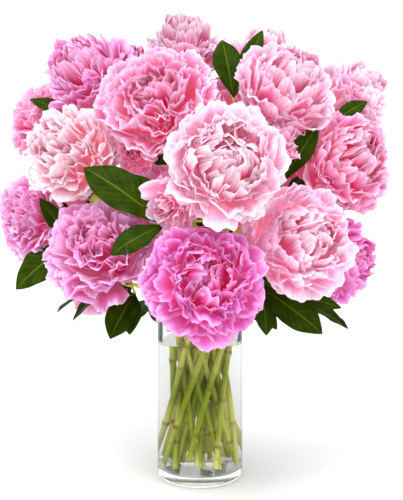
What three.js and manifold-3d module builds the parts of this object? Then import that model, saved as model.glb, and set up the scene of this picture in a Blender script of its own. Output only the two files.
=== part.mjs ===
// Double peonies in a glass cylinder vase of water.
// Millimetres, +Z up. The origin is the centre of the vase's foot, and the bouquet's front faces -Y.
import * as THREE from "three";
import { mergeVertices } from "three/addons/utils/BufferGeometryUtils.js";
import Module from "manifold-3d";

const wasm = await Module();
wasm.setup();

const degrees = Math.PI / 180;
const up = new THREE.Vector3(0, 0, 1);
const clearance = 0.4; // between any two solids that touch

// ---- Driving dimensions ----

const vase = { radius: 51, height: 203, wall: 3.2, floor: 11, corner: 5, sides: 36 };
const waterLevel = 156;

// The stems stand as four rings of straight lines, one within the other, that lean round a waist by turns
// one way and the other, so that they cross to the eye and never meet. Each ring has its radius at the
// waist and at the feet, its stems' radius, the way it leans, the degrees that a stem's waist point lies
// behind its flower, and how long its stems keep their lean above the mouth, as a share of the way up.
const bundle = {
  waistHeight: 120,
  mouthHeight: 192,
  outer: { waist: 24.4, foot: 42.2, stem: 3, turn: 1, lead: 60, handle: 0.5 },
  second: { waist: 17.2, foot: 34.6, stem: 2.7, turn: -1, lead: 47, handle: 0.2 },
  third: { waist: 10.7, foot: 27.2, stem: 2.6, turn: 1, lead: 86, handle: 0.24 },
  middle: { waist: 4.6, foot: 19, stem: 2.3, turn: -1, lead: 58, handle: 0.5 },
  lowestCut: 13.5,
  cutSteps: [0, 7, 3, 13, 5, 1, 9],
  sides: 5,
};

// Above the vase's mouth each stem bends round to its bloom, tapers and swells into the calyx.
const bend = { rings: 4, taper: 0.15 };
const calyx = { length: 15, radius: 9, seat: 0.5, swell: [0.45, 0.8] };

// A bloom is made of shares of its radius, as [out from the axis, along the axis]. Each layer has its rim,
// the valley inside it, how far the rim dips between petals, and its turn in petal widths.
const underside = [[0, -0.5], [0.8, -0.46], [1.06, -0.02]];
const petalLayers = [
  { rim: [1.02, 0.36], valley: [0.7, 0.08], dip: 0.38, turn: 0 },
  { rim: [0.78, 0.7], valley: [0.46, 0.4], dip: 0.3, turn: 0.5 },
  { rim: [0.42, 0.92], valley: [0, 0.56], dip: 0.28, turn: 0 },
];
const petal = { perLayer: 5, thickness: 1.3, notchPull: 0.12, spread: 0.07, ruffle: 0.035 };

// The corners of a petal's rim from notch to notch: the place in its width, the share of the dip, and how
// far it laps over its neighbour or under the next.
const petalRim = [
  { place: 0.075, dip: 1, lap: 0 },
  { place: 0.25, dip: 0.12, lap: 0.05 },
  { place: 0.5, dip: 0, lap: 0 },
  { place: 0.75, dip: 0.16, lap: -0.05 },
];
const press = { reach: 1.25, start: 0.6, gap: 1.2 };

// A leaf's thickness and the radius of its stalk, in shares of its length or width its arch, the fold along
// its rib and the wave of its edge, and its rows from stalk to tip as [along, width].
const leafShape = {
  thickness: 1.4,
  stalkRadius: 1.3,
  arch: 0.12,
  fold: 0.25,
  wave: 0.05,
  rows: [[0.1, 0.18], [0.36, 0.9], [0.64, 1], [0.85, 0.5]],
};

// Each flower: its centre, its radius, the way it faces (azimuth and elevation in degrees), the ring of the
// bundle that its stem stands in, and its tint.
const flowers = {
  front_low: { at: [4, -140, 229], radius: 60, face: [-84, 12], ring: "outer", tint: "magenta" },
  centre: { at: [21, -150, 334], radius: 62, face: [-82, 8], ring: "second", tint: "pale" },
  crown_left: { at: [-41, -98, 408], radius: 60, face: [-100, 18], ring: "third", tint: "rose" },
  crown_right: { at: [86, -60, 428], radius: 53, face: [-72, 24], ring: "third", tint: "blush" },
  left: { at: [-133, -68, 364], radius: 53, face: [-112, 14], ring: "second", tint: "cream" },
  left_low: { at: [-99, -98, 261], radius: 55, face: [-98, 30], ring: "outer", tint: "orchid" },
  far_left: { at: [-196, 2, 310], radius: 50, face: [-130, 6], ring: "outer", tint: "orchid" },
  right: { at: [154, -36, 360], radius: 53, face: [-62, 10], ring: "second", tint: "rose" },
  right_low: { at: [94, -94, 270], radius: 56, face: [-74, 8], ring: "outer", tint: "blush" },
  far_right: { at: [149, -20, 256], radius: 49, face: [-42, 0], ring: "outer", tint: "magenta" },
  upper_left: { at: [-124, -8, 464], radius: 53, face: [-120, 34], ring: "third", tint: "orchid" },
  top: { at: [-17, 0, 500], radius: 46, face: [-92, 48], ring: "middle", tint: "blush" },
  top_right: { at: [76, 40, 500], radius: 47, face: [-60, 54], ring: "middle", tint: "pale" },
  right_up: { at: [187, 38, 459], radius: 47, face: [-30, 34], ring: "third", tint: "blush" },
  far_left_up: { at: [-200, 52, 438], radius: 50, face: [-155, 28], ring: "third", tint: "rose" },
  heart: { at: [-44, -84, 312], radius: 44, face: [-108, 10], ring: "second", tint: "rose" },
  back_low: { at: [-18, 140, 240], radius: 62, face: [98, 8], ring: "outer", tint: "pale" },
  back: { at: [28, 158, 345], radius: 64, face: [82, 14], ring: "second", tint: "rose" },
  back_left: { at: [-88, 140, 334], radius: 62, face: [118, 12], ring: "second", tint: "cream" },
  back_crown: { at: [-38, 92, 440], radius: 64, face: [108, 36], ring: "third", tint: "orchid" },
  back_high: { at: [80, 128, 435], radius: 60, face: [68, 34], ring: "third", tint: "blush" },
  back_right: { at: [142, 92, 350], radius: 62, face: [40, 12], ring: "second", tint: "orchid" },
  back_right_low: { at: [98, 118, 245], radius: 60, face: [52, 4], ring: "outer", tint: "magenta" },
  back_left_low: { at: [-132, 90, 250], radius: 60, face: [142, 4], ring: "outer", tint: "rose" },
  back_left_high: { at: [-166, 92, 350], radius: 54, face: [148, 16], ring: "second", tint: "blush" },
  inner_front: { at: [74, -76, 370], radius: 40, face: [-70, 60], ring: "middle", tint: "rose" },
  shoulder_left: { at: [-104, 56, 446], radius: 54, face: [150, 74], ring: "middle", tint: "pale" },
  shoulder: { at: [30, 44, 450], radius: 51, face: [-20, 80], ring: "middle", tint: "rose" },
};

// Compound leaves: the stem that each grows from, how far up its bend, where its stalk divides, the way its
// upper side faces (azimuth and elevation in degrees), and its leaflets.
const leaves = [
  { stem: "crown_right", from: 0.72, hub: [38, -44, 436], face: [-90, 10],
    leaflets: [{ tip: [25, -32, 506], width: 32 }, { tip: [72, -32, 511], width: 22 }] },
  { stem: "centre", from: 0.66, hub: [-34, -128, 286], face: [-95, 30],
    leaflets: [{ tip: [-116, -112, 345], width: 42 }, { tip: [-66, -112, 338], width: 26 },
      { tip: [-84, -142, 256], width: 28 }] },
  { stem: "far_left", from: 0.62, hub: [-146, -24, 276], face: [-105, 25],
    leaflets: [{ tip: [-209, -38, 222], width: 44 }, { tip: [-178, -52, 324], width: 20 }] },
  { stem: "left_low", from: 0.7, hub: [-70, -66, 218], face: [-100, 10],
    leaflets: [{ tip: [-147, -58, 219], width: 22 }, { tip: [-93, -92, 172], width: 32 },
      { tip: [-73, -90, 176], width: 22 }] },
  { stem: "right_low", from: 0.7, hub: [66, -66, 224], face: [-80, 15],
    leaflets: [{ tip: [127, -90, 177], width: 38 }, { tip: [69, -88, 175], width: 24 },
      { tip: [156, -56, 202], width: 20 }] },
  { stem: "upper_left", from: 0.78, hub: [-149, 0, 424], face: [-110, 40],
    leaflets: [{ tip: [-203, -8, 448], width: 24 }] },
  { stem: "right", from: 0.66, hub: [90, -66, 340], face: [-90, 10],
    leaflets: [{ tip: [124, -84, 396], width: 24 }] },
  { stem: "right_up", from: 0.75, hub: [158, -4, 420], face: [-80, 30],
    leaflets: [{ tip: [198, -12, 444], width: 22 }] },
  { stem: "back_left_low", from: 0.62, hub: [-112, 26, 226], face: [170, 25],
    leaflets: [{ tip: [-186, 50, 190], width: 38 }, { tip: [-152, -6, 184], width: 26 }] },
  { stem: "back_low", from: 0.62, hub: [-66, 84, 206], face: [110, 25],
    leaflets: [{ tip: [-104, 156, 168], width: 34 }, { tip: [-50, 162, 160], width: 26 }] },
  { stem: "back_right_low", from: 0.62, hub: [52, 72, 204], face: [70, 25],
    leaflets: [{ tip: [46, 156, 164], width: 30 }, { tip: [112, 134, 160], width: 34 }] },
  { stem: "far_right", from: 0.62, hub: [118, 14, 208], face: [10, 25],
    leaflets: [{ tip: [190, 46, 172], width: 36 }, { tip: [172, -26, 176], width: 24 }] },
  { stem: "back_high", from: 0.74, hub: [18, 116, 412], face: [100, 40],
    leaflets: [{ tip: [16, 154, 470], width: 28 }, { tip: [-4, 178, 416], width: 22 }] },
  { stem: "back_left_high", from: 0.7, hub: [-130, 84, 306], face: [130, 20],
    leaflets: [{ tip: [-180, 130, 300], width: 28 }] },
];

const tints = {
  magenta: 0xd9559f,
  rose: 0xe673a6,
  orchid: 0xdd82bd,
  blush: 0xf0a6c6,
  pale: 0xf6c6da,
  cream: 0xf7d3da,
};
const green = new THREE.MeshStandardMaterial({ color: 0x5c8a2c, roughness: 0.55, metalness: 0 });
const see = { transparent: true, opacity: 0.3, metalness: 0 };
const glass = new THREE.MeshStandardMaterial({ color: 0xeef4f3, roughness: 0.03, ...see });
const clearWater = new THREE.MeshStandardMaterial({ color: 0xe4f0ee, roughness: 0.02, ...see });
const petalSkins = Object.fromEntries(Object.entries(tints).map(([tint, color]) => (
  [tint, new THREE.MeshStandardMaterial({ color, roughness: 0.6, metalness: 0 })]
)));

// ---- Helpers ----

function vector([x, y, z]) {
  return new THREE.Vector3(x, y, z);
}

// A repeatable stream of numbers from 0 to 1.
function seededRandom(seed) {
  let state = seed * 2654435761;
  return () => {
    state = (state + 0x6d2b79f5) | 0;
    let t = Math.imul(state ^ (state >>> 15), 1 | state);
    t = (t + Math.imul(t ^ (t >>> 7), 61 | t)) ^ t;
    return ((t ^ (t >>> 14)) >>> 0) / 4294967296;
  };
}

function solidOf(geometry) {
  const bare = geometry.clone().deleteAttribute("normal").deleteAttribute("uv");
  const merged = mergeVertices(bare, 1e-3);
  const mesh = new wasm.Mesh({
    numProp: 3,
    vertProperties: merged.attributes.position.array,
    triVerts: new Uint32Array(merged.index.array),
  });
  return new wasm.Manifold(mesh);
}

function geometryOf(points, faces) {
  return new THREE.BufferGeometry().setFromPoints(points).setIndex(faces.flat());
}

// One body: what fusing seals off is filled, and scraps are dropped.
function largestBody(solid) {
  const bodies = solid.decompose();
  return bodies.reduce((best, body) => (body.volume() > best.volume() ? body : best));
}

function fuse(solids) {
  return largestBody(wasm.Manifold.union(solids));
}

function meshOf(name, solid, material) {
  const { numProp, vertProperties, triVerts } = solid.getMesh();
  const points = [];
  for (let i = 0; i < vertProperties.length; i += numProp) {
    points.push(new THREE.Vector3(...vertProperties.subarray(i, i + 3)));
  }
  const geometry = new THREE.BufferGeometry().setFromPoints(points).setIndex([...triVerts]);
  geometry.computeVertexNormals();
  const mesh = new THREE.Mesh(geometry, material);
  mesh.name = name;
  return mesh;
}

// A closed solid from a start point, rings of equal corner count and an end point.
function ringedSolid(points, sides) {
  const last = points.length - 1;
  const rings = (points.length - 2) / sides;
  const faces = [];
  for (let k = 0; k < sides; k++) {
    const next = (k + 1) % sides;
    faces.push([0, 1 + next, 1 + k], [last, last - sides + k, last - sides + next]);
    for (let i = 0; i < rings - 1; i++) {
      const a = 1 + i * sides + k;
      const b = 1 + i * sides + next;
      faces.push([a, b, b + sides], [a, b + sides, a + sides]);
    }
  }
  return solidOf(geometryOf(points, faces));
}

// ---- Vase and water ----

function vaseGeometry() {
  const { radius, height, wall, floor, corner, sides } = vase;
  const profile = new THREE.Path();
  profile.moveTo(0, 0);
  profile.lineTo(radius - corner, 0);
  profile.quadraticCurveTo(radius, 0, radius, corner);
  profile.lineTo(radius, height);
  profile.lineTo(radius - wall, height);
  profile.lineTo(radius - wall, floor);
  profile.lineTo(0, floor);
  return new THREE.LatheGeometry(profile.getPoints(2), sides).rotateX(Math.PI / 2);
}

// Water that fills the vase to its level, with a plain hole for each stem.
function waterSolid(stems) {
  const radius = vase.radius - vase.wall - clearance;
  const depth = waterLevel - vase.floor - clearance;
  const body = new THREE.CylinderGeometry(radius, radius, depth, vase.sides).rotateX(Math.PI / 2);
  body.rotateZ(Math.PI / 2).translate(0, 0, waterLevel - depth / 2);
  const holes = stems.map(stemHole);
  return largestBody(solidOf(body).subtract(wasm.Manifold.union(holes)));
}

// ---- Stems ----

// A closed tube through sections of { at, radius }, with frames that don't twist.
function tube(sections, sides) {
  let side = new THREE.Vector3(1, 0, 0);
  const rings = sections.flatMap(({ at, radius }, i) => {
    const before = sections[Math.max(i - 1, 0)].at;
    const after = sections[Math.min(i + 1, sections.length - 1)].at;
    const along = after.clone().sub(before).normalize();
    side = side.clone().addScaledVector(along, -side.dot(along)).normalize();
    const across = along.clone().cross(side);
    return Array.from({ length: sides }, (_, k) => {
      const turn = (2 * Math.PI * k) / sides;
      const spoke = side.clone().multiplyScalar(Math.cos(turn)).addScaledVector(across, Math.sin(turn));
      return at.clone().addScaledVector(spoke, radius);
    });
  });
  return ringedSolid([sections[0].at, ...rings, sections.at(-1).at], sides);
}

function facing([azimuth, elevation]) {
  const level = Math.cos(elevation * degrees);
  return new THREE.Vector3(
    level * Math.cos(azimuth * degrees),
    level * Math.sin(azimuth * degrees),
    Math.sin(elevation * degrees),
  );
}

// Where a stem of the bundle is at a height: a line that passes the axis at the ring's waist.
function bundlePoint(ring, waistAngle, height) {
  const lean = Math.sqrt(ring.foot ** 2 - ring.waist ** 2) / (bundle.waistHeight - bundle.lowestCut);
  const drift = ring.turn * lean * (height - bundle.waistHeight);
  return new THREE.Vector3(
    ring.waist * Math.cos(waistAngle) - drift * Math.sin(waistAngle),
    ring.waist * Math.sin(waistAngle) + drift * Math.cos(waistAngle),
    height,
  );
}

// Gives each flower of a ring an even place round the waist, in the order of the flowers round the vase.
function seatRing(ringName) {
  const azimuthOf = (flower) => Math.atan2(flower.at[1], flower.at[0]);
  const members = Object.entries(flowers).filter(([, flower]) => flower.ring === ringName);
  members.sort(([, a], [, b]) => azimuthOf(a) - azimuthOf(b));
  const step = (2 * Math.PI) / members.length;
  const offsets = members.map(([, flower], i) => azimuthOf(flower) - i * step);
  const start = offsets.reduce((sum, offset) => sum + offset) / members.length;
  const behind = bundle[ringName].turn * bundle[ringName].lead * degrees;
  return members.map(([name], i) => [name, start + i * step - behind]);
}

function stemOf(name, waistAngle, order) {
  const flower = flowers[name];
  const ring = bundle[flower.ring];
  const cut = bundle.lowestCut + bundle.cutSteps[order % bundle.cutSteps.length];
  const foot = bundlePoint(ring, waistAngle, cut);
  const mouth = bundlePoint(ring, waistAngle, bundle.mouthHeight);
  const lean = mouth.clone().sub(foot).normalize();
  const axis = facing(flower.face);
  const seat = vector(flower.at).addScaledVector(axis, -calyx.seat * flower.radius);
  const neck = seat.clone().addScaledVector(axis, -calyx.length);
  const handle = ring.handle * neck.distanceTo(mouth);
  const curve = new THREE.CubicBezierCurve3(
    mouth,
    mouth.clone().addScaledVector(lean, handle),
    neck.clone().addScaledVector(axis, -handle),
    neck,
  );
  return { name, ring, foot, mouth, lean, curve, seat, axis };
}

// The straight run of a stem as a hole, grown so that its flat sides keep the clearance too.
function stemHole({ ring, foot, mouth, lean }) {
  const radius = ring.stem + clearance / Math.cos(Math.PI / bundle.sides);
  return tube([
    { at: foot.clone().addScaledVector(lean, -clearance), radius },
    { at: mouth.clone().addScaledVector(lean, clearance), radius },
  ], bundle.sides);
}

function stemTube({ ring, foot, curve, seat, axis }, grow) {
  const bent = curve.getSpacedPoints(bend.rings).map((at, i) => (
    { at, radius: ring.stem * (1 - (bend.taper * i) / bend.rings) + grow }
  ));
  const [back, narrower] = calyx.swell;
  return tube([
    { at: foot, radius: ring.stem + grow },
    ...bent,
    { at: seat.clone().addScaledVector(axis, -back * calyx.length), radius: narrower * calyx.radius + grow },
    { at: seat.clone().addScaledVector(axis, grow - clearance), radius: calyx.radius + grow },
  ], bundle.sides);
}

// ---- Leaves ----

// The faces of a blade of three points a row between a start and a tip point, and the points round its edge.
function bladeFaces(rows) {
  const tip = 1 + 3 * rows;
  const faces = [[0, 3, 2], [0, 2, 1], [tip - 3, tip - 2, tip], [tip - 2, tip - 1, tip]];
  const right = [];
  const left = [];
  for (let i = 0; i < rows; i++) {
    left.unshift(1 + 3 * i);
    right.push(3 + 3 * i);
  }
  for (let a = 1; a < tip - 3; a += 3) {
    faces.push([a, a + 1, a + 4], [a, a + 4, a + 3], [a + 1, a + 2, a + 5], [a + 1, a + 5, a + 4]);
  }
  return { faces, edge: [0, ...right, tip, ...left] };
}

// A leaflet from its hub to its tip: an arched blade, folded along its rib, with a waved edge. Both of its
// sides have the same triangles. Grow makes it a little larger all round, to cut room for it.
function leaflet(hub, outward, { tip, width }, grow) {
  const from = vector(hub);
  const to = vector(tip);
  const along = to.clone().sub(from).normalize();
  const face = outward.clone().addScaledVector(along, -outward.dot(along)).normalize();
  const across = along.clone().cross(face);
  const top = from.clone().lerp(to, 0.5).addScaledVector(face, leafShape.arch * from.distanceTo(to));
  const curve = new THREE.QuadraticBezierCurve3(from, top, to);
  const upper = [from.clone().addScaledVector(along, -grow)];
  leafShape.rows.forEach(([place, share], i) => {
    const at = curve.getPoint(place);
    const half = (share * width) / 2 + 2 * grow;
    const wave = (i % 2 ? 1 : -1) * leafShape.wave * width;
    for (const side of [-1, 0, 1]) {
      const raise = Math.abs(side) * leafShape.fold * half + side * wave;
      upper.push(at.clone().addScaledVector(across, side * half).addScaledVector(face, raise));
    }
  });
  upper.push(to.clone().addScaledVector(along, 2 * grow));
  const lower = upper.map((point) => point.clone().addScaledVector(face, -leafShape.thickness - grow));
  upper.forEach((point) => point.addScaledVector(face, grow));
  const { faces, edge } = bladeFaces(leafShape.rows.length);
  const n = upper.length;
  const back = faces.map(([a, b, c]) => [a + n, c + n, b + n]);
  const rim = edge.flatMap((a, i) => {
    const b = edge[(i + 1) % edge.length];
    return [[b, a, a + n], [b, a + n, b + n]];
  });
  return solidOf(geometryOf([...upper, ...lower], [...faces, ...back, ...rim]));
}

function leafSolids(stem, grow) {
  return leaves.filter((leaf) => leaf.stem === stem.name).flatMap((leaf) => {
    const stalk = tube([
      { at: stem.curve.getPoint(leaf.from), radius: leafShape.stalkRadius + grow },
      { at: vector(leaf.hub), radius: leafShape.stalkRadius + grow },
    ], 4);
    return [stalk, ...leaf.leaflets.map((one) => leaflet(leaf.hub, facing(leaf.face), one, grow))];
  });
}

function leafyStem(stem, grow = 0) {
  return fuse([stemTube(stem, grow), ...leafSolids(stem, grow)]);
}

// ---- Blooms ----

// Presses a bloom's points clear of the plane where it meets each neighbour, the nearer the harder.
function pressAmongNeighbours(name) {
  const centre = vector(flowers[name].at);
  const planes = Object.entries(flowers).filter(([other]) => other !== name).flatMap(([, other]) => {
    const towards = vector(other.at).sub(centre);
    const distance = towards.length();
    const radius = flowers[name].radius;
    if (distance > press.reach * (radius + other.radius)) return [];
    const room = (distance ** 2 + radius ** 2 - other.radius ** 2) / (2 * distance) - press.gap / 2;
    return [{ normal: towards.normalize(), room }];
  });
  return (point) => {
    for (const { normal, room } of planes) {
      const reach = point.clone().sub(centre).dot(normal);
      const start = press.start * room;
      if (reach <= start) continue;
      const spare = room - start;
      const pressed = start + spare * (1 - Math.exp((start - reach) / spare));
      point.addScaledVector(normal, pressed - reach);
    }
    return point;
  };
}

// The corners round one layer's rim, petal by petal, with each petal's own height and ruffles.
function layerCorners(layer, random) {
  const heights = Array.from({ length: petal.perLayer }, () => petal.spread * (2 * random() - 1));
  return heights.flatMap((taller, i) => (
    petalRim.map(({ place, dip, lap }) => ({
      angle: (2 * Math.PI * (i + place + layer.turn)) / petal.perLayer,
      dip,
      lap,
      taller: taller * (1 - dip),
      ruffle: petal.ruffle * (2 * random() - 1),
    }))
  ));
}

// A bloom is one closed surface of rings round its axis: out under the guard petals, over their rim into
// the valley behind it, and so on from layer to layer. Each rim rises into petals and dips between them.
function bloomSolid(name, seed) {
  const { at, radius, face } = flowers[name];
  const random = seededRandom(seed);
  const [pole, ...below] = underside;
  const shape = [new THREE.Vector3(0, 0, pole[1])];
  const addRing = (corners, pointAt) => {
    for (const corner of corners) {
      const [out, along] = pointAt(corner);
      shape.push(new THREE.Vector3(out * Math.cos(corner.angle), out * Math.sin(corner.angle), along));
    }
  };
  petalLayers.forEach((layer, depth) => {
    const corners = layerCorners(layer, random);
    if (depth === 0) {
      for (const [out, along] of below) {
        addRing(corners, ({ dip, lap }) => [out * (1 - petal.notchPull * dip * out + lap), along]);
      }
    }
    for (const inward of [0, petal.thickness / radius]) {
      addRing(corners, ({ dip, lap, taller, ruffle }) => [
        layer.rim[0] * (1 - petal.notchPull * dip) + lap + ruffle - inward,
        layer.rim[1] - layer.dip * dip + taller,
      ]);
    }
    if (layer.valley[0] > 0) {
      addRing(corners, () => layer.valley);
    }
  });
  shape.push(new THREE.Vector3(0, 0, petalLayers.at(-1).valley[1]));
  const turn = new THREE.Quaternion().setFromUnitVectors(up, facing(face));
  const pressed = pressAmongNeighbours(name);
  const placed = shape.map((point) => (
    pressed(point.multiplyScalar(radius).applyQuaternion(turn).add(vector(at)))
  ));
  return ringedSolid(placed, petal.perLayer * petalRim.length);
}

// ---- The bouquet ----

const bouquet = new THREE.Group();
const seats = ["outer", "second", "third", "middle"].flatMap(seatRing);
const stems = seats.map(([name, waistAngle], order) => stemOf(name, waistAngle, order));

bouquet.add(meshOf("vase", solidOf(vaseGeometry()), glass));
bouquet.add(meshOf("water", waterSolid(stems), clearWater));
stems.forEach((stem) => bouquet.add(meshOf("stem_" + stem.name, leafyStem(stem), green)));

const cutters = stems.map((stem) => ({ name: stem.name, solid: leafyStem(stem, clearance) }));
Object.keys(flowers).forEach((name, i) => {
  const others = cutters.map((cutter) => cutter.solid);
  const bloom = largestBody(bloomSolid(name, i + 1).subtract(wasm.Manifold.union(others)));
  bouquet.add(meshOf("bloom_" + name, bloom, petalSkins[flowers[name].tint]));
});

export default bouquet;
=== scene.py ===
import math
import bpy
import numpy as np
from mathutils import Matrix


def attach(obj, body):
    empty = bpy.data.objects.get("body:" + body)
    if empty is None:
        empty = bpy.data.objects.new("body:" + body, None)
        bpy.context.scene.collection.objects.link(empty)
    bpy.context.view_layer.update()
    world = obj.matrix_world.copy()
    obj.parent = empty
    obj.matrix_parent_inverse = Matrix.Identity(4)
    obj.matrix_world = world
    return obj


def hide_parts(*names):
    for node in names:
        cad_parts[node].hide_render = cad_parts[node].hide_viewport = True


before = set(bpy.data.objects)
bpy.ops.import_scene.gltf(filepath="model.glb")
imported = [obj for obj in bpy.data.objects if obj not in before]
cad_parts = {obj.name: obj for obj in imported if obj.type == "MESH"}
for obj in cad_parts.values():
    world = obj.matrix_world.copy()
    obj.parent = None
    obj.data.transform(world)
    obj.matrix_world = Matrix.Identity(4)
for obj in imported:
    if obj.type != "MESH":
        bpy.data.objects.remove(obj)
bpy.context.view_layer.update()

scene = bpy.context.scene
mm = 0.001
up = np.array([0.0, 0.0, 1.0])


def mix(a, b, t):
    return a + (b - a) * t


def smooth(low, high, x):
    t = np.clip((x - low) / (high - low), 0, 1)
    return t * t * (3 - 2 * t)


def unit(v):
    return v / np.linalg.norm(v)


def facing(azimuth, elevation):
    a, e = math.radians(azimuth), math.radians(elevation)
    return np.array([math.cos(e) * math.cos(a), math.cos(e) * math.sin(a), math.sin(e)])


def colour(code):
    # a six-digit screen colour as the linear values that shaders read
    parts = [int(code[i:i + 2], 16) / 255 for i in (0, 2, 4)]
    return [c / 12.92 if c < 0.04045 else ((c + 0.055) / 1.055) ** 2.4 for c in parts] + [1.0]


# the level camera's distance and height, its focal length and centre in pixels of the render, its sensor's
# width, and how near it sees
view = dict(
    away=643 * mm, height=234 * mm, focal=533, render=(403, 500), centre=(200, 279), sensor=36.0, near=0.01,
)

camera = bpy.data.objects.new("camera", bpy.data.cameras.new("camera"))
scene.collection.objects.link(camera)
scene.camera = camera
camera.data.sensor_width = view["sensor"]
camera.data.lens = view["focal"] / view["render"][1] * view["sensor"]
camera.data.shift_x = (view["render"][0] / 2 - view["centre"][0]) / view["render"][1]
camera.data.shift_y = (view["centre"][1] - view["render"][1] / 2) / view["render"][1]
camera.data.clip_start = view["near"]
camera.location = (0, -view["away"], view["height"])
camera.rotation_euler = (math.pi / 2, 0, 0)

# the floor's size, tone and roughness, the sky's strength, and the size, power and place of both lamps
studio = dict(
    floorSize=6.0, floorTone="e6eae8", floorRoughness=0.7, sky=1.4,
    keySize=0.8, keyPower=26.0, keyPlace=(-0.45, -1.0, 1.7),
    fillSize=1.3, fillPower=5.0, fillPlace=(1.3, -0.9, 0.8),
    aim=(0, 0, 0.33),
)


def areaLight(name, place, size, power):
    lamp = bpy.data.lights.new(name, "AREA")
    lamp.size = size
    lamp.energy = power
    thing = bpy.data.objects.new(name, lamp)
    scene.collection.objects.link(thing)
    thing.location = place
    towards = np.array(studio["aim"]) - np.array(place)
    level = math.hypot(towards[0], towards[1])
    thing.rotation_euler = (math.atan2(level, -towards[2]), 0, math.atan2(-towards[0], towards[1]))


areaLight("keyLight", studio["keyPlace"], studio["keySize"], studio["keyPower"])
areaLight("fillLight", studio["fillPlace"], studio["fillSize"], studio["fillPower"])
world = bpy.data.worlds.new("studio")
scene.world = world
world.use_nodes = True
world.node_tree.nodes["Background"].inputs["Color"].default_value = (1, 1, 1, 1)
world.node_tree.nodes["Background"].inputs["Strength"].default_value = studio["sky"]
scene.view_settings.view_transform = "Standard"


def meshOf(name, points, faces):
    mesh = bpy.data.meshes.new(name)
    mesh.from_pydata([tuple(p) for p in points], [], faces)
    mesh.update()
    return mesh


def objectOf(name, mesh, parent=None):
    thing = bpy.data.objects.new(name, mesh)
    (parent or scene.collection).objects.link(thing)
    return thing


def plainSkin(name, tone, roughness):
    skin = bpy.data.materials.new(name)
    skin.use_nodes = True
    shader = skin.node_tree.nodes["Principled BSDF"]
    shader.inputs["Base Color"].default_value = colour(tone)
    shader.inputs["Roughness"].default_value = roughness
    return skin


half = studio["floorSize"] / 2
floorCorners = [(-half, -half, 0), (half, -half, 0), (half, half, 0), (-half, half, 0)]
floor = objectOf("floor", meshOf("floor", floorCorners, [(0, 1, 2, 3)]))
floor.data.materials.append(plainSkin("floorPaint", studio["floorTone"], studio["floorRoughness"]))
print("stage set")


class Graph:
    # places nodes in a tree and links what is passed to them
    def __init__(self, tree):
        self.tree = tree

    def node(self, kind, out=0, settings=(), **inputs):
        made = self.tree.nodes.new(kind)
        for key, value in dict(settings).items():
            setattr(made, key, value)
        for key, value in inputs.items():
            self.feed(made.inputs[int(key[1:]) if key[0] == "i" and key[1:].isdigit() else key], value)
        return made.outputs[out]

    def feed(self, socket, value):
        if isinstance(value, bpy.types.NodeSocket):
            self.tree.links.new(value, socket)
        else:
            socket.default_value = value

    def math(self, operation, a, b=0.0, c=0.0):
        return self.node("ShaderNodeMath", settings=dict(operation=operation), i0=a, i1=b, i2=c)

    def ramp(self, value, low, high):
        return self.node("ShaderNodeMapRange", settings=dict(interpolation_type="SMOOTHSTEP"),
                         i0=value, i1=low, i2=high, i3=0.0, i4=1.0)

    def noise(self, place, scale, detail):
        return self.node("ShaderNodeTexNoise", Vector=place, Scale=scale, Detail=detail)

    def attribute(self, name):
        return self.node("ShaderNodeAttribute", out=2, settings=dict(attribute_name=name))

    def objectPlace(self):
        return self.node("ShaderNodeTexCoord", out=3)

    def split(self, value):
        made = self.tree.nodes.new("ShaderNodeSeparateXYZ")
        self.feed(made.inputs[0], value)
        return made.outputs

    def bladePlace(self):
        # where a point lies across and along its blade
        across, along, _ = self.split(self.node("ShaderNodeUVMap", settings=dict(uv_map="bladeMap")))
        return across, along

    def blend(self, share, first, second, way="MIX"):
        made = self.tree.nodes.new("ShaderNodeMix")
        made.data_type = "RGBA"
        made.blend_type = way
        self.feed(made.inputs[0], share)
        self.feed(made.inputs[6], first)
        self.feed(made.inputs[7], second)
        return made.outputs[2]

    def surface(self, share, first, second):
        # the material's surface is a share of the second shader and the rest of the first
        both = self.tree.nodes.new("ShaderNodeMixShader")
        for socket, value in zip(both.inputs, (share, first, second)):
            self.feed(socket, value)
        self.feed(self.tree.nodes["Material Output"].inputs["Surface"], both.outputs[0])


def newGroup(name, kind, ins, outs):
    tree = bpy.data.node_groups.new(name, kind)
    for label, socket, value in ins:
        made = tree.interface.new_socket(label, in_out="INPUT", socket_type=socket)
        if value is not None:
            made.default_value = value
    for label, socket in outs:
        tree.interface.new_socket(label, in_out="OUTPUT", socket_type=socket)
    graph = Graph(tree)
    return graph, tree.nodes.new("NodeGroupInput").outputs, tree.nodes.new("NodeGroupOutput").inputs


# how a petal's colours are laid along it, at its sides and by its depth in the bloom
petalMarks = dict(
    streaks=(22.0, 1.6, 60.0), streakDetail=3.0,  # across a petal, along it and from one to the next
    stray=0.4, spots=70.0, spotDetail=3.0,  # how far streaks carry the colours, and the spots' size
    tip=(0.72, 1.02), side=(0.62, 1.0), sideAlong=(0.2, 0.6), sideShare=0.85,  # where the edge begins
    edgeSpots=(0.8, 0.65), heartEdge=-0.3,  # how spots break it up, and how it fades near the heart
    root=(0.84, 0.5), guardRoot=-0.35, backRoot=-0.5, toneShare=0.16,  # where the root's colour ends
    guard=(0.22, 0.0), inner=(0.35, 0.9), heart=(0.5, 0.95), heartShare=(0.75, 0.2),  # by a petal's depth
    # each petal's lightness at random, the colour of light through it, and the painted glow: emitted light
    # that stands in for light deep between petals
    shade=(0.2, 0.88), mostShade=1.08, throughShare=0.5, paintedGlowShare=(0.85, 0.15),
)


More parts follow.
